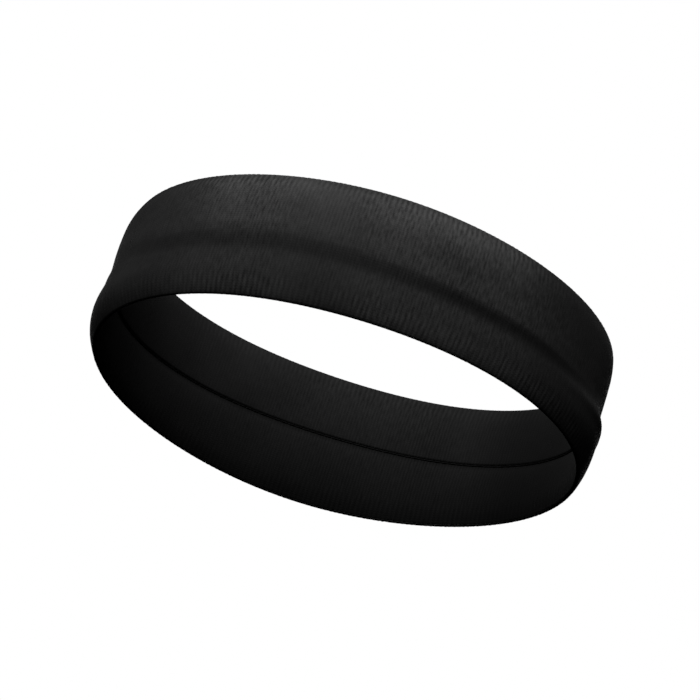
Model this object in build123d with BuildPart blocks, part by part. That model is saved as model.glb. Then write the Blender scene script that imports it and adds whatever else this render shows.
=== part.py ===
from build123d import *
import math
import os

# A sports headband: one seamless knitted tube folded double into an oval loop. The two raw
# ends of the tube meet half way up the inside, are turned in between the walls and are closed
# by one chain-stitched seam, which also catches the outer wall and pulls a soft groove into it.
#
# Millimetres. The loop stands on its lower edge: the origin is on the surface below the middle
# of the head opening, +X is the long way across the loop, +Y the short way and +Z is up.

# ---- the loop -------------------------------------------------------------------------------
flat_length = 240.0         # length of the band when it is pressed flat: half its girth
loop_aspect = 0.66          # short way across the loop over the long way, as it stands open
band_height = 55.5          # from the lower edge to the upper edge
seam_height = 26.0          # height of the seam, and of the groove outside it

# ---- the cloth ------------------------------------------------------------------------------
cloth_thickness = 0.9       # one knitted wall
edge_half_flat = 0.5        # half the width of the flat along each rolled edge
edge_bore_radius = 0.1      # hollow inside the corners of the rolled edges
foot_flattening = 0.1       # how far the lower edge is pressed flat where the band stands
outer_puff = 1.1            # how far the outer wall puffs out beyond its edges
inner_puff = 0.5            # how far the inner wall puffs in beyond its edges
groove_radius = 12.0        # softness of the groove outside the seam

# ---- the seam -------------------------------------------------------------------------------
seam_gap = 0.2              # open ditch between the two turned ends
turn_bore_radius = 0.1      # hollow inside each turned end
turned_length = 6.0         # how far each raw end reaches from the seam, between the walls
wall_clearance = 0.1        # turned ends to the back of the outer wall
seam_thread_diameter = 0.5  # needle and looper threads of the chain stitch, over the corners
thread_sides = 6            # the chained loops press into each other, so the thread isn't round
thread_clearance = 0.01     # those threads to the turned ends
overcast_thickness = 0.25   # build-up of the overcasting thread on each raw end
overcast_depth = 2.0        # how far the overcasting reaches along the cloth

# ---- worked out: the loop -------------------------------------------------------------------
# Ramanujan's formula for the girth of an ellipse gives the half-length, because the girth of
# the cloth stays the same however the loop is opened.
girth_factor = math.pi * (
    3 * (1 + loop_aspect) - math.sqrt((3 + loop_aspect) * (1 + 3 * loop_aspect))
)
half_length = 2 * flat_length / girth_factor
half_width = half_length * loop_aspect

# The whole band follows this oval, half way through its thickness.
with BuildLine() as loop:
    EllipticalCenterArc((0, 0), half_length, half_width, start_angle=0, arc_size=360)
loop_path = loop.wires()[0]

# Sections are drawn where the loop crosses +X: x runs outward through the band and y runs up.
section_plane = Plane(origin=(half_length, 0, 0), x_dir=(1, 0, 0), z_dir=(0, -1, 0))

# ---- worked out: the section ----------------------------------------------------------------
roll_radius = edge_bore_radius + cloth_thickness
unpressed_foot_z = -foot_flattening
lower_back_z = unpressed_foot_z + cloth_thickness
lower_roll_z = unpressed_foot_z + roll_radius
upper_back_z = band_height - cloth_thickness
upper_roll_z = band_height - roll_radius
edge_x = edge_half_flat + roll_radius
edge_back_x = edge_x - cloth_thickness

turn_radius = turn_bore_radius + cloth_thickness
turn_x = turn_radius - edge_x
turn_back_x = turn_x + turn_radius
turn_bore_x = turn_x + turn_bore_radius
groove_back_x = turn_back_x + wall_clearance
groove_x = groove_back_x + cloth_thickness

outer_crown = edge_x + outer_puff
outer_back_crown = outer_crown - cloth_thickness
inner_crown = -edge_x - inner_puff
inner_back_crown = inner_crown + cloth_thickness

# The seam threads sit in the two vees where the turned ends face each other.
thread_radius = seam_thread_diameter / 2
thread_reach = math.sqrt(
    (turn_radius + thread_radius + thread_clearance) ** 2 - (turn_radius + seam_gap / 2) ** 2
)


def lobe(start, end, crown):
    """One soft bulge of a wall, between two of its fixed lines."""
    ThreePointArc(start, (crown, (start[1] + end[1]) / 2), end)


def inner_wall_section(roll_z, up):
    """The wall against the head, from a rolled edge to the middle of its turn at the seam.

    up is +1 above the seam and -1 below it.
    """
    turn_face_z = seam_height + up * seam_gap / 2
    turn_bore_z = turn_face_z + up * cloth_thickness
    turn_z = turn_face_z + up * turn_radius
    with BuildSketch(section_plane) as section:
        with BuildLine():
            lobe((-edge_x, roll_z), (-edge_x, turn_z), inner_crown)
            TangentArc((-edge_x, turn_z), (turn_x, turn_face_z), tangent=(0, -up))
            Line((turn_x, turn_face_z), (turn_x, turn_bore_z))
            TangentArc((turn_x, turn_bore_z), (-edge_back_x, turn_z), tangent=(-1, 0))
            lobe((-edge_back_x, turn_z), (-edge_back_x, roll_z), inner_back_crown)
            Line((-edge_back_x, roll_z), (-edge_x, roll_z))
        make_face()
    return section.sketch


def turned_edge_section(up):
    """The end of the cloth beyond its turn, running back between the walls."""
    turn_face_z = seam_height + up * seam_gap / 2
    turn_bore_z = turn_face_z + up * cloth_thickness
    turn_z = turn_face_z + up * turn_radius
    raw_end_z = seam_height + up * turned_length
    with BuildSketch(section_plane) as section:
        with BuildLine():
            Line((turn_x, turn_face_z), (turn_x, turn_bore_z))
            TangentArc((turn_x, turn_bore_z), (turn_bore_x, turn_z), tangent=(1, 0))
            Line((turn_bore_x, turn_z), (turn_bore_x, raw_end_z))
            Line((turn_bore_x, raw_end_z), (turn_back_x, raw_end_z))
            Line((turn_back_x, raw_end_z), (turn_back_x, turn_z))
            TangentArc((turn_back_x, turn_z), (turn_x, turn_face_z), tangent=(0, -up))
        make_face()
    return section.sketch


def overcast_section(up):
    """The thread wrapped over a raw end: a cap round three sides of the cloth."""
    raw_end_z = seam_height + up * turned_length
    cloth_middle_x = (turn_bore_x + turn_back_x) / 2
    cap_middle_z = raw_end_z + up * (overcast_thickness - overcast_depth) / 2
    with BuildSketch(section_plane) as section:
        with Locations((cloth_middle_x, cap_middle_z)):
            Rectangle(cloth_thickness + 2 * overcast_thickness, overcast_depth + overcast_thickness)
        with Locations((cloth_middle_x, raw_end_z - up * overcast_depth / 2)):
            Rectangle(cloth_thickness, overcast_depth, mode=Mode.SUBTRACT)
    return section.sketch


def seam_thread_section(side):
    """A thread of the chain stitch: side is -1 in the open ditch and 1 behind the seam."""
    with BuildSketch(section_plane) as section:
        with Locations((turn_x + side * thread_reach, seam_height)):
            RegularPolygon(thread_radius, thread_sides)
    return section.sketch


# ---- outer layer: the outer wall and both rolled edges --------------------------------------
with BuildPart() as outer_layer:
    with BuildSketch(section_plane) as outer_section:
        with BuildLine():
            Line((-edge_half_flat, unpressed_foot_z), (edge_half_flat, unpressed_foot_z))
            TangentArc((edge_half_flat, unpressed_foot_z), (edge_x, lower_roll_z), tangent=(1, 0))
            lobe((edge_x, lower_roll_z), (groove_x, seam_height), outer_crown)
            lobe((groove_x, seam_height), (edge_x, upper_roll_z), outer_crown)
            TangentArc((edge_x, upper_roll_z), (edge_half_flat, band_height), tangent=(0, 1))
            Line((edge_half_flat, band_height), (-edge_half_flat, band_height))
            TangentArc((-edge_half_flat, band_height), (-edge_x, upper_roll_z), tangent=(-1, 0))
            Line((-edge_x, upper_roll_z), (-edge_back_x, upper_roll_z))
            TangentArc((-edge_back_x, upper_roll_z), (-edge_half_flat, upper_back_z), tangent=(0, 1))
            Line((-edge_half_flat, upper_back_z), (edge_half_flat, upper_back_z))
            TangentArc((edge_half_flat, upper_back_z), (edge_back_x, upper_roll_z), tangent=(1, 0))
            lobe((edge_back_x, upper_roll_z), (groove_back_x, seam_height), outer_back_crown)
            lobe((groove_back_x, seam_height), (edge_back_x, lower_roll_z), outer_back_crown)
            TangentArc((edge_back_x, lower_roll_z), (edge_half_flat, lower_back_z), tangent=(0, -1))
            Line((edge_half_flat, lower_back_z), (-edge_half_flat, lower_back_z))
            TangentArc((-edge_half_flat, lower_back_z), (-edge_back_x, lower_roll_z), tangent=(-1, 0))
            Line((-edge_back_x, lower_roll_z), (-edge_x, lower_roll_z))
            TangentArc((-edge_x, lower_roll_z), (-edge_half_flat, unpressed_foot_z), tangent=(0, -1))
        make_face()
        groove_lines = outer_section.vertices().sort_by_distance((groove_x, seam_height, 0))[:2]
        fillet(groove_lines, groove_radius)
    sweep(path=loop_path)
    split(bisect_by=Plane.XY, keep=Keep.TOP)
outer_layer.part.label = "outer_layer"

# ---- inner layers: the walls against the head, above and below the seam ---------------------
with BuildPart() as inner_upper_layer:
    sweep(inner_wall_section(upper_roll_z, 1), path=loop_path)
inner_upper_layer.part.label = "inner_upper_layer"

with BuildPart() as inner_lower_layer:
    sweep(inner_wall_section(lower_roll_z, -1), path=loop_path)
inner_lower_layer.part.label = "inner_lower_layer"

# ---- turned edges: the raw ends of the tube, hidden between the walls ------------------------
with BuildPart() as upper_turned_edge:
    sweep(turned_edge_section(1), path=loop_path)
upper_turned_edge.part.label = "upper_turned_edge"

with BuildPart() as lower_turned_edge:
    sweep(turned_edge_section(-1), path=loop_path)
lower_turned_edge.part.label = "lower_turned_edge"

# ---- threads ---------------------------------------------------------------------------------
with BuildPart() as seam_needle_thread:
    sweep(seam_thread_section(-1), path=loop_path)
seam_needle_thread.part.label = "seam_needle_thread"

with BuildPart() as seam_looper_thread:
    sweep(seam_thread_section(1), path=loop_path)
seam_looper_thread.part.label = "seam_looper_thread"

with BuildPart() as upper_overcast_thread:
    sweep(overcast_section(1), path=loop_path)
upper_overcast_thread.part.label = "upper_overcast_thread"

with BuildPart() as lower_overcast_thread:
    sweep(overcast_section(-1), path=loop_path)
lower_overcast_thread.part.label = "lower_overcast_thread"

# ---- files -----------------------------------------------------------------------------------
os.makedirs("parts", exist_ok=True)
export_step(outer_layer.part, "parts/outer_layer.step")
export_step(inner_upper_layer.part, "parts/inner_upper_layer.step")
export_step(inner_lower_layer.part, "parts/inner_lower_layer.step")
export_step(upper_turned_edge.part, "parts/upper_turned_edge.step")
export_step(lower_turned_edge.part, "parts/lower_turned_edge.step")
export_step(seam_needle_thread.part, "parts/seam_needle_thread.step")
export_step(seam_looper_thread.part, "parts/seam_looper_thread.step")
export_step(upper_overcast_thread.part, "parts/upper_overcast_thread.step")
export_step(lower_overcast_thread.part, "parts/lower_overcast_thread.step")
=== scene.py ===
import math

import bpy
import numpy as np
from mathutils import Matrix, Vector


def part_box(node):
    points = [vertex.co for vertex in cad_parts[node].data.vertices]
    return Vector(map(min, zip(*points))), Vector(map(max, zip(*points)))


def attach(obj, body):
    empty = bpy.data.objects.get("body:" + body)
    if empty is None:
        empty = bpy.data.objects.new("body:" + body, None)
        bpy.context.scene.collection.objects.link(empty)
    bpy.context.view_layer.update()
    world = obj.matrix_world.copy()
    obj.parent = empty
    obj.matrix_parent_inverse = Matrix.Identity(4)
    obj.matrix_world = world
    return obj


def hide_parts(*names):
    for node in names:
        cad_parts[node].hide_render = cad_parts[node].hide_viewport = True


# A sports headband, as a knitter would describe it: one seamless tube of fine black rib knit,
# folded double, its two ends turned in and sewn together round the inside. Everything is in
# metres in the part's own frame, except that the shaders read the cloth in millimetres.

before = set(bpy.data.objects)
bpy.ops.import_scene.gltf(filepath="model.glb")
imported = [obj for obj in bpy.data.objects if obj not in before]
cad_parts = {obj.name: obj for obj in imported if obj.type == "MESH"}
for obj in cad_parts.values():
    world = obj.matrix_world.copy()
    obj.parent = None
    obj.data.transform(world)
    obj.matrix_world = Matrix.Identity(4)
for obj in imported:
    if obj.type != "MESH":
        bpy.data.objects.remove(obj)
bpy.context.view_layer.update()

MM = 0.001
TURN = 2 * math.pi

# ---- sizes taken from the frame --------------------------------------------------------------
EDGE_HALF = 1.5 * MM          # half the thickness of the band at its rolled edges
SOLID_PUFF = 1.1 * MM         # how far the plain solid's wall puffs out beyond its edges
LOFT = 0.3 * MM               # the knit stands this much higher at each fold

solid_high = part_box("outer_layer")[1]
half_length = solid_high.x - EDGE_HALF - SOLID_PUFF
half_width = solid_high.y - EDGE_HALF - SOLID_PUFF
mean_height = solid_high.z + 2 * LOFT

# ---- the cloth -------------------------------------------------------------------------------
CLOTH = 0.9 * MM              # one knitted wall
FOLD_HALF = 0.65 * MM         # at the folded edges the band and its cloth are pressed thin
FOLD_CLOTH = 0.55 * MM
FOLD_REACH = 8 * MM           # how far from a fold the band reaches its full thickness
WORN_REACH = 1.6 * MM         # how far from a fold the cloth is rubbed pale

# ---- how the relaxed band stands -------------------------------------------------------------
FAR_TALLER = 0.043            # the cloth relaxes unevenly: a little higher at the back,
RIGHT_LOWER = 0.0228          # lower at the right,
ENDS_LOWER = 0.0345           # lower round both tight ends
SKEW = 0.008                  # and a little higher half way to the right of the front
TAPER = 0.0084                # the upper edge opens out and the lower edge draws in
BOW_FRONT = 3.2 * MM          # the front wall bows out half way up
BOW_BACK = 1.8 * MM           # and the back wall sags in, towards the opening

# How far each lobe puffs out along the front and back, round the left end and round the right.
LOBE_UPPER = (1.1 * MM, 1.4 * MM, 0.3 * MM)
LOBE_LOWER = (0.75 * MM, 2.6 * MM, 1.75 * MM)
LOBE_LOW = (1.35, 1.2, 0.7)   # how low the lower lobe hangs there: 1 is evenly
LOBE_FULLNESS = 2.6           # a higher power makes the upper lobe squarer
LOBE_WANDER = 0.12 * MM
INNER_LOBE = 0.5 * MM
INNER_WANDER = 0.2            # share of the inner lobe that comes and goes

# Lines that run round the band lie at a share of its height from the top: at the ends, how
# much lower towards the right, and how much lower along the back and along the front.
GROOVE_LINE = (0.55, 0.012, -0.07, 0.108)
GROOVE_SAG = 0.02             # the groove lies this much lower again just right of the front,
GROOVE_SAG_AT = 4.9708        # at this angle round the loop
GROOVE_WANDER = 0.007
SEAM_LINE = (0.5651, -0.0057, -0.076, 0.06)

# Places beside the groove are shares of the height too.
RIDGE = 0.42 * MM             # cloth gathered up just above the groove, most at the right
RIDGE_AT_LEFT = 0.3           # share of it that is left towards the left
RIDGE_ABOVE = 0.085
RIDGE_WIDTH = 0.04
LEFT_FILL = 1.1 * MM          # how much shallower the groove is round the tight ends
RIGHT_FILL = 1.4 * MM
FILL_BELOW = 0.02
FILL_WIDTH = 0.07

# ---- the seam --------------------------------------------------------------------------------
SEAM_GAP = 0.2 * MM
TURN_BORE = 0.1 * MM          # hollow inside each turned end
TURN_RADIUS = TURN_BORE + CLOTH
TURN_OFFSET = TURN_RADIUS - EDGE_HALF
TURNED_LENGTH = 6 * MM        # how far each raw end reaches back between the walls
DITCH_SINK = 0.45 * MM        # how far the lower inner wall sinks towards the seam
DITCH_WIDTH = 1.8 * MM
STITCH = 3.0 * MM             # length of one seam stitch
STITCH_DIP = 0.14 * MM        # how far a seam thread is pulled in at each needle hole
NEEDLE_SWAY = 0.03 * MM       # how far each seam thread weaves up and down
LOOPER_SWAY = 0.07 * MM
THREAD_REACH = 0.594 * MM     # seam threads to the middle of the turned ends
SEAM_THREAD_RADIUS = 0.17 * MM
OVERCAST_PITCH = 2.4 * MM     # from one wrap of the overcasting to the next
OVERCAST_DEPTH = 2.0 * MM
OVERCAST_RADIUS = 0.125 * MM

# ---- the knit --------------------------------------------------------------------------------
WALES = 390                   # fine wales round the loop
EDGE_RIBS = 260               # coarser ribs in the bands along both edges
WALE_RELIEF = 0.024 * MM
RIB_RELIEF = 0.034 * MM
RIB_BAND = 8.5 * MM           # how far the coarse ribs reach from a fold
RIB_BAND_RAGGED = 0.9 * MM
RIB_BAND_FADE = 2.5 * MM
GRAIN_LENGTH = 2.4 * MM       # how soon a wale changes along its length,
WAVER = 1.1                   # how far it wavers to the side
UNEVEN = 0.75                 # and how much its fullness changes
GRAIN_ROWS = 64               # the grain repeats after so many lengths,
GRAIN_START = 20              # and the cloth starts at this one
COURSE = 0.95                 # height of one row of stitches, in mm

# ---- how finely the meshes are cut -----------------------------------------------------------
STATIONS = 4 * WALES          # columns round the loop in the cloth that can be seen
STITCH_STATIONS = 10          # columns in one seam stitch
WRAP_STATIONS = 16            # columns in one wrap of the overcasting
ROLL_ROWS = 7                 # rows round a rolled edge,
WALL_ROWS = 36                # down the outer wall,
INNER_ROWS = 20               # along each wall against the head
TURN_ROWS = 6                 # and round its turn at the seam
FINE_STEPS = 7200             # steps for measuring the loop

random = np.random.default_rng(7)


# ---- the shape of the band -------------------------------------------------------------------
def oval(angle, offset):
    """Points of the loop's outline at these angles, this far outside the band's middle."""
    c, s = np.cos(angle), np.sin(angle)
    reach = 1 / np.hypot(c / half_length, s / half_width)
    x, y = reach * c, reach * s
    across_x, across_y = x / half_length**2, y / half_width**2
    size = np.hypot(across_x, across_y)
    return x + offset * across_x / size, y + offset * across_y / size


def even_stations(count):
    """Angles that share the cloth out evenly round the loop, and the loop's length."""
    fine = np.linspace(0, TURN, FINE_STEPS + 1)
    x, y = oval(fine, EDGE_HALF)
    run = np.concatenate([[0], np.cumsum(np.hypot(np.diff(x), np.diff(y)))])
    return np.interp(np.linspace(0, run[-1], count + 1)[:-1], run, fine), run[-1]


def height(angle):
    """Height of the band, which varies a little round the loop."""
    return mean_height * (
        1 - RIGHT_LOWER * np.cos(angle) + FAR_TALLER * np.sin(angle)
        - ENDS_LOWER * np.cos(2 * angle) - SKEW * np.sin(2 * angle)
    )


def line_share(line, angle):
    """Where a line that runs round the band lies, as a share of the height from the top."""
    ends, right, back, front = line
    across = np.sin(angle)
    along_front = front * smooth(-across / 0.5)
    along_back = back * np.clip(across, 0, 1)
    return ends + right * np.cos(angle) + along_front + along_back


def wander(waves):
    """A slow, uneven drift round the loop, from -1 to 1, in which short waves are smaller."""
    phases = random.uniform(0, TURN, len(waves))
    sizes = np.array(waves, float) ** -0.6
    return lambda angle: sum(
        size * np.cos(wave * angle + phase) for wave, phase, size in zip(waves, phases, sizes)
    ) / sizes.sum()


groove_wander = wander((3, 7, 13))
random.random(4)              # four draws are passed over: the ones below depend on it
upper_lobe_wander = wander((4, 7, 11, 19))
lower_lobe_wander = wander((3, 8, 13, 21))
inner_lobe_wander = wander((3, 5, 8, 14))


def bulge(part):
    """0 at both ends of a stretch of wall and 1 half way along it."""
    return np.sin(math.pi * np.clip(part, 0, 1))


def smooth(value):
    """A soft step from 0 to 1."""
    value = np.clip(value, 0, 1)
    return value * value * (3 - 2 * value)


def hump(value, width):
    """1 where the value is 0, and fading away on both sides of it."""
    return np.exp(-((value / width) ** 2))


def rightward(angle):
    """0 towards the left end and 1 towards the right end, stepping up softly in between."""
    return smooth(np.cos(angle) + 0.3)


def opening_up(angle, z):
    """0 at a pressed fold and 1 where the band has its full thickness."""
    from_edge = height(angle) / 2 - np.abs(z)
    return 1 - (1 - np.clip(from_edge / FOLD_REACH, 0, 1)) ** 2


def half_thickness(angle, z):
    return FOLD_HALF + (EDGE_HALF - FOLD_HALF) * opening_up(angle, z)


def cloth_thickness(angle, z):
    return FOLD_CLOTH + (CLOTH - FOLD_CLOTH) * opening_up(angle, z)


def groove_share(angle):
    """Where the groove lies, with its slow wander and a sag just right of the front."""
    sag = GROOVE_SAG * np.clip(np.cos(angle - GROOVE_SAG_AT), 0, 1) ** 6
    return line_share(GROOVE_LINE, angle) + sag + GROOVE_WANDER * groove_wander(angle)


def outer_offset(angle, share):
    """How far out the outer wall's face lies, at a share of the height from the top.

    Along the front and back the upper lobe is full and drops steeply into the groove, and the
    lower one comes out slowly. Round the tight ends the groove is shallow.
    """
    edge = FOLD_HALF / height(angle)
    groove = groove_share(angle)
    at_left = np.clip(-np.cos(angle), 0, 1) ** 6
    at_right = np.clip(np.cos(angle), 0, 1) ** 6
    at_end = at_left + at_right
    upper, lower, low = (
        front + (left - front) * at_left + (right - front) * at_right
        for front, left, right in (LOBE_UPPER, LOBE_LOWER, LOBE_LOW)
    )
    upper = upper + LOBE_WANDER * upper_lobe_wander(angle)
    lower = lower + LOBE_WANDER * lower_lobe_wander(angle)
    up_part = np.clip((share - edge) / (groove - edge), 0, 1)
    low_part = np.clip((share - groove) / (1 - edge - groove), 0, 1)
    lobes = np.where(
        share < groove,
        upper * (1 - np.abs(2 * up_part - 1) ** LOBE_FULLNESS),
        lower * bulge(low_part**low),
    )
    gathered = RIDGE * (RIDGE_AT_LEFT + (1 - RIDGE_AT_LEFT) * rightward(angle)) * (1 - at_end)
    ridge = gathered * hump(share - groove + RIDGE_ABOVE, RIDGE_WIDTH)
    fill = LEFT_FILL * at_left + RIGHT_FILL * at_right
    filled = fill * hump(share - groove - FILL_BELOW, FILL_WIDTH)
    return half_thickness(angle, (0.5 - share) * height(angle)) + lobes + ridge + filled


def bow(angle, share):
    """How far the whole wall bows out, or sags in where this is negative."""
    front, back = np.clip(-np.sin(angle), 0, 1), np.clip(np.sin(angle), 0, 1)
    return (BOW_FRONT * front**1.5 - BOW_BACK * back**1.5) * bulge(share)


def seam_z(angle):
    """Height of the seam above the band's middle."""
    return height(angle) * (0.5 - line_share(SEAM_LINE, angle))


# ---- standing the band on its lower edge -----------------------------------------------------
# The front and the back of the lower edge rest on the ground; the ends stand just clear of it.
lower_front = -height(-math.pi / 2) / 2
lower_back = -height(math.pi / 2) / 2
tip = math.atan2(lower_front - lower_back, 2 * half_width * (1 - TAPER))
STAND = Matrix.Rotation(tip, 4, "X")
lowest = min(
    (STAND @ Vector((0, side * half_width * (1 - TAPER), low))).z
    for side, low in ((-1, lower_front), (1, lower_back))
)
STAND = Matrix.Translation((0, 0, -lowest)) @ STAND
stand_turn = np.array(STAND.to_3x3())
stand_lift = np.array(STAND.translation)


def place(angle, offset, z):
    """Points on the standing band, from angles round it, offsets from its middle and heights."""
    tall = height(angle)
    x, y = oval(angle, offset + bow(angle, 0.5 - z / tall))
    opened = 1 + TAPER * 2 * z / tall
    return np.stack([x * opened, y * opened, z + 0 * x], -1) @ stand_turn.T + stand_lift


# ---- sections: rows of (offset, z) round one closed piece of cloth ---------------------------
def bend(centre_offset, centre_z, radius, start, end, rows, radius_z=None):
    """Rows round a bend of the cloth, from one angle to another in degrees."""
    radius_z = radius if radius_z is None else radius_z
    return [
        (centre_offset + radius * math.cos(a), centre_z + radius_z * math.sin(a))
        for a in np.radians(np.linspace(start, end, rows))
    ]


def rise(angle, face, low, high, rows):
    """Rows up a stretch of wall: face gives the offset from the angle, z and share of the way."""
    return [
        (face(angle, low + (high - low) * part, part), low + (high - low) * part)
        for part in np.linspace(0, 1, rows)
    ]


def outer_section(angle):
    """The outer wall with both rolled edges, and how many of its rows can be seen."""
    roll_z = height(angle) / 2 - FOLD_HALF
    back = FOLD_HALF - FOLD_CLOTH

    def face(angle, z, part):
        return outer_offset(angle, 0.5 - z / height(angle))

    def back_face(angle, z, part):
        return face(angle, z, part) - cloth_thickness(angle, z)

    rows = bend(0, roll_z, FOLD_HALF, 180, 0, ROLL_ROWS)[:-1]
    rows += rise(angle, face, roll_z, -roll_z, WALL_ROWS)
    rows += bend(0, -roll_z, FOLD_HALF, 0, -180, ROLL_ROWS)[1:]
    seen = len(rows)
    rows += bend(0, -roll_z, back, -180, 0, 4)[:-1]
    rows += rise(angle, back_face, -roll_z, roll_z, 7)
    rows += bend(0, roll_z, back, 0, 180, 4)[1:]
    return rows, seen


def inner_upper_section(angle):
    """The wall against the head from its turn at the seam up to the rolled edge."""
    roll_z = height(angle) / 2 - FOLD_HALF
    turn_z = seam_z(angle) + SEAM_GAP / 2 + TURN_RADIUS
    lobe = INNER_LOBE * (1 + INNER_WANDER * inner_lobe_wander(angle))

    def face(angle, z, part):
        return -half_thickness(angle, z) - lobe * bulge(part)

    def back_face(angle, z, part):
        return face(angle, z, 1 - part) + cloth_thickness(angle, z)

    rows = bend(TURN_OFFSET, turn_z, TURN_RADIUS, -90, -180, TURN_ROWS)[:-1]
    rows += rise(angle, face, turn_z, roll_z, INNER_ROWS)
    seen = len(rows)
    rows += rise(angle, back_face, roll_z, turn_z, 6)
    rows += bend(TURN_OFFSET, turn_z, TURN_BORE, -180, -90, 3)[1:]
    return rows, seen


def inner_lower_section(angle):
    """The wall against the head from the lower rolled edge up to its turn at the seam."""
    roll_z = FOLD_HALF - height(angle) / 2
    turn_z = seam_z(angle) - SEAM_GAP / 2 - TURN_RADIUS
    lobe = INNER_LOBE * (1 + INNER_WANDER * inner_lobe_wander(angle + 1))
    reach = EDGE_HALF - DITCH_SINK + TURN_OFFSET

    def face(angle, z, part):
        sink = DITCH_SINK * np.exp(-(turn_z - z) / DITCH_WIDTH)
        return -half_thickness(angle, z) - lobe * bulge(part) + sink

    def back_face(angle, z, part):
        sink = DITCH_SINK * np.exp(-(turn_z - z) / DITCH_WIDTH)
        return face(angle, z, 1 - part) + cloth_thickness(angle, z) - sink

    rows = rise(angle, face, roll_z, turn_z, INNER_ROWS)
    rows += bend(TURN_OFFSET, turn_z, reach, 180, 90, TURN_ROWS, radius_z=TURN_RADIUS)[1:]
    seen = len(rows)
    rows += bend(TURN_OFFSET, turn_z, TURN_BORE, 90, 180, 3)
    rows += rise(angle, back_face, turn_z, roll_z, 6)[1:]
    return rows, seen


def turned_edge_section(angle, up):
    """The end of the cloth beyond its turn, running back between the walls; up is 1 or -1."""
    turn_z = seam_z(angle) + up * (SEAM_GAP / 2 + TURN_RADIUS)
    raw_z = seam_z(angle) + up * TURNED_LENGTH
    rows = bend(TURN_OFFSET, turn_z, TURN_RADIUS, -90 * up, 0, 5)
    rows += rise(angle, lambda a, z, part: TURN_OFFSET + TURN_RADIUS + 0 * z, turn_z, raw_z, 4)[1:]
    rows += rise(angle, lambda a, z, part: TURN_OFFSET + TURN_BORE + 0 * z, raw_z, turn_z, 4)
    rows += bend(TURN_OFFSET, turn_z, TURN_BORE, 0, -90 * up, 3)[1:]
    return rows if up < 0 else rows[::-1], 0


# ---- the relief of the knit ------------------------------------------------------------------
wale_grain = random.normal(size=(2, GRAIN_ROWS, WALES))
rib_grain = random.normal(size=(2, GRAIN_ROWS, EDGE_RIBS))
rib_ends = random.normal(size=EDGE_RIBS) * RIB_BAND_RAGGED


def uneven_wales(share_round, across, count, grain):
    """Wales side by side, from -1 to 1, each wavering and changing in fullness along it."""
    wale = share_round * count
    column = np.round(wale).astype(int) % count
    place_in_grain = across / GRAIN_LENGTH + GRAIN_START
    row = np.floor(place_in_grain).astype(int) % GRAIN_ROWS
    next_row = (row + 1) % GRAIN_ROWS
    part = smooth(place_in_grain % 1)
    waver, fullness = (g[row, column] * (1 - part) + g[next_row, column] * part for g in grain)
    return np.cos(TURN * wale + WAVER * waver) * (1 + UNEVEN * fullness)


def knit_relief(share_round, across, from_fold):
    """How far the knit stands up, and where it is the coarse rib of the edges."""
    rib_column = np.round(share_round * EDGE_RIBS).astype(int) % EDGE_RIBS
    band = smooth((RIB_BAND + rib_ends[rib_column] - from_fold) / RIB_BAND_FADE + 0.5)
    fine = WALE_RELIEF * uneven_wales(share_round, across, WALES, wale_grain)
    coarse = RIB_RELIEF * uneven_wales(share_round, across, EDGE_RIBS, rib_grain)
    return fine * (1 - band) + coarse * band, band


# ---- meshes ----------------------------------------------------------------------------------
def ring_mesh(name, points, along, across, marks=()):
    """A closed ring from rows of points round the loop, with its cloth measured in mm."""
    rows, stations = points.shape[:2]
    row, station = np.meshgrid(np.arange(rows), np.arange(stations), indexing="ij")
    next_row, next_station = (row + 1) % rows, (station + 1) % stations
    corners = np.stack([
        row * stations + station,
        next_row * stations + station,
        next_row * stations + next_station,
        row * stations + next_station,
    ], -1).reshape(-1, 4)

    end_across = across[-1] + np.linalg.norm(points[-1] - points[0], axis=-1)
    across = np.concatenate([across, end_across[None]]) / MM
    along = np.asarray(along) / MM
    uv = np.stack([
        np.stack([along[station], across[row, station]], -1),
        np.stack([along[station], across[row + 1, station]], -1),
        np.stack([along[station + 1], across[row + 1, next_station]], -1),
        np.stack([along[station + 1], across[row, next_station]], -1),
    ], -2)

    mesh = bpy.data.meshes.new(name)
    mesh.vertices.add(rows * stations)
    mesh.vertices.foreach_set("co", points.astype(np.float32).ravel())
    mesh.loops.add(corners.size)
    mesh.loops.foreach_set("vertex_index", corners.astype(np.int32).ravel())
    mesh.polygons.add(len(corners))
    mesh.polygons.foreach_set("loop_start", np.arange(0, corners.size, 4, dtype=np.int32))
    mesh.uv_layers.new(name="cloth").data.foreach_set("uv", uv.astype(np.float32).ravel())
    mesh.update(calc_edges=True)
    mesh.shade_smooth()
    mesh.set_sharp_from_angle(angle=math.radians(65))
    for mark, values in dict(marks).items():
        mesh.attributes.new(mark, "FLOAT", "POINT").data.foreach_set(
            "value", np.broadcast_to(values, (rows, stations)).astype(np.float32).ravel()
        )
    piece = bpy.data.objects.new(name, mesh)
    bpy.context.scene.collection.objects.link(piece)
    return piece


def row_arrays(rows, angle):
    """Rows of (offset, z) as two arrays with a row for each and a column for each station."""
    offset = np.stack([row[0] + 0 * angle for row in rows])
    z = np.stack([row[1] + 0 * angle for row in rows])
    return offset, z


def running_length(offset, z):
    """How far each row lies along the cloth from the first one."""
    steps = np.hypot(np.diff(offset, axis=0), np.diff(z, axis=0))
    return np.concatenate([np.zeros((1, offset.shape[1])), np.cumsum(steps, axis=0)])


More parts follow.
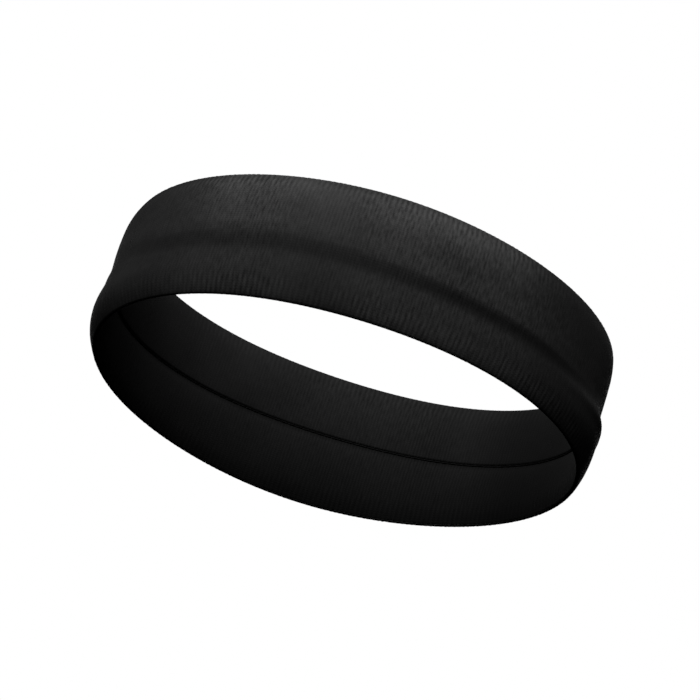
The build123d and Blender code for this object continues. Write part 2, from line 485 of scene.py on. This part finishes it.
def cloth_piece(name, section, stations, folds=(), painted_shading=None):
    """A ring of knitted cloth. folds holds rows, and how far each lies from a fold's middle.

    Its last argument gives painted light and shade: a factor on the cloth's colour, from the angle
    and the share of the height.
    """
    angle, girth = even_stations(stations)
    rows, seen = section(angle)
    offset, z = row_arrays(rows, angle)
    across = running_length(offset, z)
    points = place(angle, offset, z)
    along = np.linspace(0, girth, stations + 1)
    share_round = along[:-1] / girth
    from_fold = np.full_like(across, mean_height)
    for fold, away in folds:
        from_fold = np.minimum(from_fold, np.abs(across - across[fold]) + away)
    band = np.zeros_like(across)
    if seen:
        down = np.gradient(points[:seen], axis=0)
        forward = np.roll(points[:seen], -1, axis=1) - np.roll(points[:seen], 1, axis=1)
        normal = np.cross(down, forward)
        normal /= np.linalg.norm(normal, axis=-1, keepdims=True)
        relief, band[:seen] = knit_relief(share_round, across[:seen], from_fold[:seen])
        smoother_inside = 0.5 + 0.5 * smooth(0.5 + offset[:seen] / (2 * FOLD_HALF))
        points[:seen] += normal * (relief * smoother_inside)[..., None]
    share = 0.5 - z / height(angle)
    # the last mark is painted light and shade, a factor on the knit's colour
    marks = {
        "rib_band": band,
        "fold": hump(from_fold, WORN_REACH),
        "painted_shading": painted_shading(angle, share) if painted_shading else 1 + 0 * share,
    }
    return ring_mesh(name, points, along, across, marks)


def thread_piece(name, points, beside, radius, sides):
    """A closed ring of thread along points; beside is a direction across it at each of them."""
    forward = np.roll(points, -1, axis=0) - np.roll(points, 1, axis=0)
    forward /= np.linalg.norm(forward, axis=1, keepdims=True)
    beside = beside - (beside * forward).sum(1, keepdims=True) * forward
    beside /= np.linalg.norm(beside, axis=1, keepdims=True)
    above = np.cross(forward, beside)
    turns = np.linspace(0, TURN, sides + 1)[:-1]
    rows = np.stack([
        points + radius * (math.cos(turn) * beside + math.sin(turn) * above) for turn in turns
    ])
    steps = np.linalg.norm(np.diff(points, axis=0, append=points[:1]), axis=1)
    along = np.concatenate([[0], np.cumsum(steps)])
    across = np.repeat((turns * radius)[:, None], len(points), axis=1)
    return ring_mesh(name, rows, along, across)


def seam_thread(name, side):
    """A thread of the chain stitch: side is -1 in the open ditch and 1 behind the seam."""
    stitches = round(even_stations(1)[1] / STITCH)
    angle, _ = even_stations(stitches * STITCH_STATIONS)
    phase = np.arange(len(angle)) * TURN / STITCH_STATIONS
    dip = STITCH_DIP * np.cos(phase / 2) ** 8
    offset = TURN_OFFSET + side * (THREAD_REACH - dip)
    z = seam_z(angle) + (NEEDLE_SWAY if side < 0 else LOOPER_SWAY) * np.sin(phase)
    points = place(angle, offset, z)
    higher = place(angle, offset, z + MM) - points
    return thread_piece(name, points, higher, SEAM_THREAD_RADIUS, sides=8)


def overcast_thread(name, up):
    """The thread wrapped over a raw end, in and out of the cloth all the way round."""
    wraps = round(even_stations(1)[1] / OVERCAST_PITCH)
    angle, _ = even_stations(wraps * WRAP_STATIONS)
    phase = np.arange(len(angle)) * TURN / WRAP_STATIONS
    reach_out = CLOTH / 2 + OVERCAST_RADIUS
    reach_up = OVERCAST_DEPTH / 2 + OVERCAST_RADIUS
    out, rise_up = np.cos(phase), np.sin(phase)
    offset = TURN_OFFSET + TURN_BORE + CLOTH / 2 + reach_out * np.sign(out) * np.sqrt(np.abs(out))
    z = seam_z(angle) + up * (TURNED_LENGTH - OVERCAST_DEPTH / 2)
    z = z + reach_up * np.sign(rise_up) * np.sqrt(np.abs(rise_up))
    points = place(angle, offset, z)
    ahead = place(angle + 0.01, 0 * offset, z) - place(angle - 0.01, 0 * offset, z)
    return thread_piece(name, points, ahead, OVERCAST_RADIUS, sides=6)


# ---- shaders ---------------------------------------------------------------------------------
class Value:
    """A shader's number, so that sums written in Python add the Math nodes for them."""

    def __init__(self, shader, socket):
        self.shader, self.socket = shader, socket

    def maths(self, operation, *others):
        values = dict(enumerate((self, *others)))
        return self.shader.node("ShaderNodeMath", {"operation": operation}, values)

    def __add__(self, other):
        return self.maths("ADD", other)

    def __sub__(self, other):
        return self.maths("SUBTRACT", other)

    def __mul__(self, other):
        return self.maths("MULTIPLY", other)

    def __truediv__(self, other):
        return self.maths("DIVIDE", other)

    def __rsub__(self, other):
        return self * -1 + other

    __radd__ = __add__

    def cosine(self):
        return self.maths("COSINE")

    def part(self):
        return self.maths("FRACT")

    def size(self):
        return self.maths("ABSOLUTE")

    def greater(self, other):
        return self.maths("MAXIMUM", other)


class Shader:
    """A node material or world under construction."""

    def __init__(self, owner):
        owner.use_nodes = True
        self.owner, self.tree = owner, owner.node_tree
        self.tree.nodes.clear()

    def node(self, kind, settings={}, sockets={}, output=0):
        """Adds a node: first its settings, then the values or links of its sockets."""
        node = self.tree.nodes.new(kind)
        for name, setting in settings.items():
            setattr(node, name, setting)
        for name, value in sockets.items():
            if isinstance(value, Value):
                self.tree.links.new(value.socket, node.inputs[name])
            else:
                node.inputs[name].default_value = value
        return Value(self, node.outputs[output]) if node.outputs else None

    def other(self, value, output):
        """Another output of the node that a value comes from."""
        return Value(self, value.socket.node.outputs[output])

    def mix_colours(self, mask, first, second):
        """A colour between two, by a mask from 0 to 1."""
        settings = {"data_type": "RGBA", "clamp_factor": True}
        return self.node("ShaderNodeMix", settings, {0: mask, 6: first, 7: second}, output=2)

    def soft_step(self, value, low, high):
        """0 up to low and 1 from high."""
        settings = {"interpolation_type": "SMOOTHSTEP"}
        return self.node("ShaderNodeMapRange", settings, {0: value, 1: low, 2: high})

    def mark(self, name):
        """A value that the mesh carries."""
        return self.node("ShaderNodeAttribute", {"attribute_name": name}, output="Fac")

    def noise(self, vector, scale, detail=2.0, roughness=0.5):
        sockets = {"Vector": vector, "Scale": scale, "Detail": detail, "Roughness": roughness}
        return self.node("ShaderNodeTexNoise", {}, sockets)

    def vector(self, x, y, z=0.0):
        return self.node("ShaderNodeCombineXYZ", {}, {"X": x, "Y": y, "Z": z})


def grey(level):
    return (level, level, level, 1)


CLOTH_BLACK = 0.031           # the fullest yarn,
VALLEY_SHADE_AND_DARK_YARN_BLACK = 0.0085         # the darkest yarn, with painted shade in the valleys between the wales
WORN_BLACK = 0.03             # and the yarn that is rubbed along the folds
THREAD_BLACK = 0.006
THREAD_VALLEY_BLACK = 0.002


def black_rib_knit(girth):
    """Fine black rib knit: wales with chevron stitches, coarser ribs along the folds."""
    shader = Shader(bpy.data.materials.new("black_rib_knit"))
    cloth = shader.node("ShaderNodeUVMap", {"uv_map": "cloth"})
    along = shader.node("ShaderNodeSeparateXYZ", {}, {0: cloth})
    across = shader.other(along, "Y")
    place_on_band = shader.node("ShaderNodeTexCoord", output="Object")
    band, fold, painted_shading = (shader.mark(name) for name in ("rib_band", "fold", "painted_shading"))

    wale = along * (WALES / (girth / MM))
    rib = along * (EDGE_RIBS / (girth / MM))
    ridge = (wale * TURN).cosine() * (1 - band) + (rib * TURN).cosine() * band
    ridge = ridge * 0.5 + 0.5

    # Each wale is a column of stitches whose two legs meet in a V.
    leg = ((wale + 0.5).part() - 0.5).size() * 2
    stitch = ((across / COURSE + leg * 0.55) * TURN).cosine() * 0.5 + 0.5
    fibre = shader.noise(shader.vector(along * 2.2, across * 5.0), 1.0, 4.0, 0.65)
    slub = shader.noise(shader.vector(wale * 1.1, across * 0.26), 1.0, 3.0, 0.7)
    cloud = shader.noise(place_on_band, 38.0, 3.0, 0.55)
    lively = shader.soft_step(shader.noise(place_on_band, 16.0, 1.0), 0.4, 0.6) * 0.7 + 0.55
    lively = lively * (shader.soft_step(painted_shading, 0.0, 0.9) * 0.7 + 0.3)

    # the ridge term paints shade into the valleys between the wales; slub, stitch, fibre and cloud
    # vary the yarn's own colour
    yarn = ridge * (band * 0.25 + 0.14) + slub * 1.7 + stitch * 0.2 + fibre * 0.5 - 1.29
    shade = (yarn - band * 0.12) * lively + cloud + 0.01
    colour = shader.mix_colours(shade, grey(VALLEY_SHADE_AND_DARK_YARN_BLACK), grey(CLOTH_BLACK))
    worn = fold * shader.soft_step(slub, 0.45, 0.75) * 0.2
    colour = shader.mix_colours(worn, colour, grey(WORN_BLACK))
    # painted light and shade: the colour is scaled by the mark the mesh carries
    colour = shader.node(
        "ShaderNodeVectorMath", {"operation": "SCALE"}, {0: colour, "Scale": painted_shading},
    )

    height_mm = ridge * 0.018 + stitch * 0.035 + fibre * 0.05 + slub * 0.06
    bumps = shader.node("ShaderNodeBump", {}, {"Strength": 0.7, "Distance": MM, "Height": height_mm})
    surface = shader.node("ShaderNodeBsdfPrincipled", {}, {
        "Base Color": colour,
        "Roughness": 0.93 - ridge * 0.12 - slub * 0.1,
        "Specular IOR Level": 0.05,
        "Sheen Weight": 0.03,
        "Sheen Roughness": 0.45,
        "Normal": bumps,
    })
    shader.node("ShaderNodeOutputMaterial", {}, {"Surface": surface})
    return shader.owner


def black_sewing_thread():
    """Two-ply polyester thread: its twist shows as slanting lines with a low gloss."""
    shader = Shader(bpy.data.materials.new("black_sewing_thread"))
    cloth = shader.node("ShaderNodeUVMap", {"uv_map": "cloth"})
    along = shader.node("ShaderNodeSeparateXYZ", {}, {0: cloth})
    around = shader.other(along, "Y")
    twist = ((along * 1.6 + around * 1.9) * TURN).cosine() * 0.5 + 0.5
    fuzz = shader.noise(shader.vector(along * 4.0, around * 9.0), 1.0, 3.0, 0.6)
    full = twist * 0.7 + fuzz * 0.3
    colour = shader.mix_colours(full, grey(THREAD_VALLEY_BLACK), grey(THREAD_BLACK))
    bumps = shader.node("ShaderNodeBump", {}, {
        "Strength": 0.6, "Distance": MM, "Height": twist * 0.04 + fuzz * 0.02,
    })
    surface = shader.node("ShaderNodeBsdfPrincipled", {}, {
        "Base Color": colour,
        "Roughness": 0.62 - twist * 0.12 + fuzz * 0.1,
        "Specular IOR Level": 0.06,
        "Sheen Weight": 0.015,
        "Normal": bumps,
    })
    shader.node("ShaderNodeOutputMaterial", {}, {"Surface": surface})
    return shader.owner


# ---- painted light and shade on the cloth ----------------------------------------------------
# These give the mark that the knit's colour is multiplied by, as painted light and shade: 1 is
# the plain cloth. Places down the band are shares of its height from the top.
GROOVE_SHADE_ABOVE = 0.055          # the painted shade of the groove lies this far above the groove's line
GROOVE_PAINTED_SHADE = (0.3, 0.25)     # how much darker the painted shade makes it, and how much more towards the right
# a painted highlight on a band above the groove
RIDGE_PAINTED_HIGHLIGHT = 0.25
FRONT_PAINTED_LIGHT = 1.1              # painted light: the upper half of the wall is paler along the front
UPPER_PAINTED_SHADE = 0.2              # and painted shade makes it darker elsewhere
LOWER_PAINTED_SHADE = 0.15             # painted shade on the wall below the groove
UNDER_PAINTED_LIGHT = (0.38, 0.5)      # painted light on the lower fold where it rolls under, more so to the right
UPPER_FOLD_PAINTED_SHADE = 0.25              # painted shade on the cloth nearest the upper fold
OUTER_ENDS_PAINTED_SHADE = 0.45        # painted shade darkens both walls round the tight ends
INNER_ENDS_PAINTED_SHADE = 0.6
# painted shade in the seam's ditch
DITCH_PAINTED_SHADE = 0.7
LOW_LEFT_PAINTED_LIGHT = 2             # painted light on the foot of the inner wall at the left end


def fade(value, start, width):
    """0 up to a start and 1 from a width beyond it."""
    return smooth((value - start) / width)


def turned_away(angle):
    """Where painted shade falls round the ends: 0 along the front and back, 1 round the tight ends
    and more where they are tightest.
    """
    lean = np.abs(np.cos(angle))
    return fade(lean + 0.05 * np.cos(angle), 0.72, 0.23) + 0.8 * fade(lean, 0.95, 0.05)


def outer_painted_shading(angle, share):
    """Painted light and shade on the outer wall, with its two folds: a factor on its colour."""
    right = rightward(angle)
    below = share - groove_share(angle) + GROOVE_SHADE_ABOVE
    # painted shade in and above the groove
    painted_groove_shade = fade(below, 0.03 * right - 0.075, 0.035) * (1 - fade(below, 0, 0.12))
    upper_half = 1 - fade(share, 0.08, 0.42)
    front = fade(-np.sin(angle + 0.13), 0.38, 0.45)
    # painted light along the front of the upper half, painted shade on the rest of it
    painted_shading = 1 + upper_half * (FRONT_PAINTED_LIGHT * front - UPPER_PAINTED_SHADE)
    # a painted highlight above the groove and painted shade below it
    painted_shading = painted_shading + RIDGE_PAINTED_HIGHLIGHT * hump(below + 0.15, 0.06) - LOWER_PAINTED_SHADE * fade(below, 0, 0.06)
    # painted light on the lower fold
    painted_shading = painted_shading + (UNDER_PAINTED_LIGHT[0] + UNDER_PAINTED_LIGHT[1] * right) * fade(share, 0.84, 0.1)
    # painted shade round the tight ends
    painted_shading = painted_shading * (1 - OUTER_ENDS_PAINTED_SHADE * turned_away(angle))
    # painted shade along the upper fold
    painted_shading = painted_shading * (1 - UPPER_FOLD_PAINTED_SHADE * (1 - fade(share, 0.03, 0.06)))
    return painted_shading * (1 - (GROOVE_PAINTED_SHADE[0] + GROOVE_PAINTED_SHADE[1] * right) * painted_groove_shade)


def inner_painted_shading(angle, share):
    """Painted shade on the wall against the head: darker than the outer wall, darker towards the
    bottom, and darkest in the seam's ditch.
    """
    from_seam = share - line_share(SEAM_LINE, angle)
    # painted shade in the seam's ditch, narrow above the seam and wider below
    painted_ditch_shade = hump(from_seam, np.where(from_seam < 0, 0.008, 0.03))
    low_left = fade(-np.cos(angle), 0.8, 0.18) * fade(share, 0.55, 0.35)
    # painted shade: the inner wall is darker than the outer, and darker towards the bottom
    painted_shading = (0.58 - 0.42 * share) * (1 - DITCH_PAINTED_SHADE * painted_ditch_shade)
    # painted shade round the tight ends
    painted_shading = painted_shading * (1 - INNER_ENDS_PAINTED_SHADE * np.minimum(turned_away(angle), 1))
    # painted light on the foot of the inner wall at the left end
    return painted_shading * (1 + LOW_LEFT_PAINTED_LIGHT * low_left)


# ---- the nine pieces -------------------------------------------------------------------------
girth = even_stations(1)[1]
knit = black_rib_knit(girth)
sewing = black_sewing_thread()

# The rows in the middle of the outer layer's rolled edges, and the row where the inner upper
# wall ends, a quarter of a bend short of the middle of its fold.
UPPER_FOLD = ROLL_ROWS // 2
LOWER_FOLD = ROLL_ROWS + WALL_ROWS - 2 + ROLL_ROWS // 2
INNER_TOP = TURN_ROWS + INNER_ROWS - 2
EDGE_BEND = FOLD_HALF * math.pi / 2

pieces = {
    "outer_layer": cloth_piece(
        "rib_knit_outer_layer", outer_section, STATIONS,
        folds=((UPPER_FOLD, 0), (LOWER_FOLD, 0)), painted_shading=outer_painted_shading,
    ),
    "inner_upper_layer": cloth_piece(
        "rib_knit_inner_upper_layer", inner_upper_section, STATIONS,
        folds=((INNER_TOP, EDGE_BEND),), painted_shading=inner_painted_shading,
    ),
    "inner_lower_layer": cloth_piece(
        "rib_knit_inner_lower_layer", inner_lower_section, STATIONS,
        folds=((0, EDGE_BEND),), painted_shading=inner_painted_shading,
    ),
    "upper_turned_edge": cloth_piece(
        "upper_turned_in_edge", lambda angle: turned_edge_section(angle, 1), WALES,
    ),
    "lower_turned_edge": cloth_piece(
        "lower_turned_in_edge", lambda angle: turned_edge_section(angle, -1), WALES,
    ),
    "seam_needle_thread": seam_thread("chain_stitch_needle_thread", -1),
    "seam_looper_thread": seam_thread("chain_stitch_looper_thread", 1),
    "upper_overcast_thread": overcast_thread("upper_overcasting", 1),
    "lower_overcast_thread": overcast_thread("lower_overcasting", -1),
}
for node, piece in pieces.items():
    is_thread = node.endswith("thread")
    piece.data.materials.append(sewing if is_thread else knit)
    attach(piece, "root")
    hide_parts(node)


# ---- the floor -------------------------------------------------------------------------------
FLOOR_DROP = 0.3 * MM         # keeps the knit's relief clear of the floor
FLOOR_REACH = 3               # half its width
FLOOR_FADE = (0.3, 1.2)       # how far out it starts to fade, and where it is gone


def pale_floor():
    """A plain pale floor that fades into the white room and can't be seen from underneath."""
    mesh = bpy.data.meshes.new("floor")
    corners = [
        (x * FLOOR_REACH, y * FLOOR_REACH, -FLOOR_DROP)
        for x, y in ((-1, -1), (1, -1), (1, 1), (-1, 1))
    ]
    mesh.from_pydata(corners, [], [(0, 1, 2, 3)])
    shader = Shader(bpy.data.materials.new("pale_floor"))
    place_on_floor = shader.node("ShaderNodeTexCoord", output="Object")
    mottle = shader.noise(place_on_floor, 9.0, 4.0)
    surface = shader.node("ShaderNodeBsdfPrincipled", {}, {
        "Base Color": shader.mix_colours(mottle, grey(0.78), grey(0.82)),
        "Roughness": 0.75 + mottle * 0.1,
    })
    clear = shader.node("ShaderNodeBsdfTransparent")
    underneath = shader.node("ShaderNodeNewGeometry", output="Backfacing")
    far_off = shader.node(
        "ShaderNodeVectorMath", {"operation": "LENGTH"}, {0: place_on_floor}, output="Value",
    )
    faded = shader.soft_step(far_off, *FLOOR_FADE)
    hidden = underneath.greater(faded)
    seen = shader.node("ShaderNodeMixShader", {}, {0: hidden, 1: surface, 2: clear})
    shader.node("ShaderNodeOutputMaterial", {}, {"Surface": seen})
    mesh.materials.append(shader.owner)
    floor = bpy.data.objects.new("floor", mesh)
    bpy.context.scene.collection.objects.link(floor)
    floor.visible_diffuse = False
    floor.visible_glossy = False


# ---- the light -------------------------------------------------------------------------------
# Each soft lamp: the direction it shines from, its width and how strongly it lights the band.
# The one behind only keeps the far side from going black.
LAMPS = {
    "high_front_left": ((-0.27, -0.58, 0.77), 1.0, 1.05),
    "low_front": ((-0.25, -0.9, 0.34), 1.0, 0.42),
    "behind": ((0.0, 0.9, 0.42), 1.4, 0.55),
}
LAMP_DISTANCE = 1.6
SKY_LIGHT = 0.03


def soft_lamp(name, direction, width, strength):
    """A square soft box aimed at the band."""
    lamp = bpy.data.lights.new(name, "AREA")
    lamp.shape = "SQUARE"
    lamp.size = width
    lamp.energy = strength * math.pi**2 * LAMP_DISTANCE**2
    holder = bpy.data.objects.new(name, lamp)
    direction = Vector(direction).normalized()
    holder.location = Vector((0, 0, mean_height / 2)) + direction * LAMP_DISTANCE
    holder.rotation_euler = direction.to_track_quat("Z", "Y").to_euler()
    bpy.context.scene.collection.objects.link(holder)


def white_room():
    """White as far as the eye sees; as a light it is a dim dome over the upper half only."""
    shader = Shader(bpy.data.worlds.new("white_room"))
    direction = shader.node("ShaderNodeTexCoord", output="Generated")
    up = shader.other(shader.node("ShaderNodeSeparateXYZ", {}, {0: direction}), "Z")
    dome = shader.soft_step(up, -0.05, 0.25) * SKY_LIGHT
    seen = shader.node("ShaderNodeLightPath", output="Is Camera Ray")
    strength = dome * (1 - seen) + seen
    room = shader.node("ShaderNodeBackground", {}, {"Color": grey(1), "Strength": strength})
    shader.node("ShaderNodeOutputWorld", {}, {"Surface": room})
    bpy.context.scene.world = shader.owner


# ---- the camera ------------------------------------------------------------------------------
VIEW_AROUND = -2.826          # degrees: a touch to the right of straight on
VIEW_BELOW = 35.52            # looking up from under the band
VIEW_ROLL = 18.32
VIEW_DISTANCE = 0.9718
VIEW_WIDTH = 0.2559           # what the picture takes in across, at the band
VIEW_RIGHT = 1.12 * MM        # the band sits this far right of and below the middle
VIEW_DOWN = 1.76 * MM
SENSOR = 36                   # mm


def view_camera():
    """Looks up at the band from in front of it and below."""
    around, below, roll = (math.radians(a) for a in (VIEW_AROUND, VIEW_BELOW, VIEW_ROLL))
    ahead = Vector((
        math.sin(around) * math.cos(below), math.cos(around) * math.cos(below), math.sin(below),
    ))
    level = Vector((math.cos(around), -math.sin(around), 0))
    upward = level.cross(ahead)
    across = level * math.cos(roll) + upward * math.sin(roll)
    up = upward * math.cos(roll) - level * math.sin(roll)
    spot = -ahead * VIEW_DISTANCE - across * VIEW_RIGHT + up * VIEW_DOWN
    turn = Matrix((across, up, -ahead)).transposed().to_4x4()
    camera = bpy.data.cameras.new("view_from_below")
    camera.sensor_width = SENSOR
    camera.lens = SENSOR * VIEW_DISTANCE / VIEW_WIDTH
    camera.clip_start = 0.01
    holder = bpy.data.objects.new("view_from_below", camera)
    holder.matrix_world = STAND @ Matrix.Translation(spot) @ turn
    bpy.context.scene.collection.objects.link(holder)
    bpy.context.scene.camera = holder


pale_floor()
for lamp_name, (direction, width, strength) in LAMPS.items():
    soft_lamp(lamp_name, direction, width, strength)
white_room()
view_camera()
bpy.context.scene.view_settings.view_transform = "Standard"
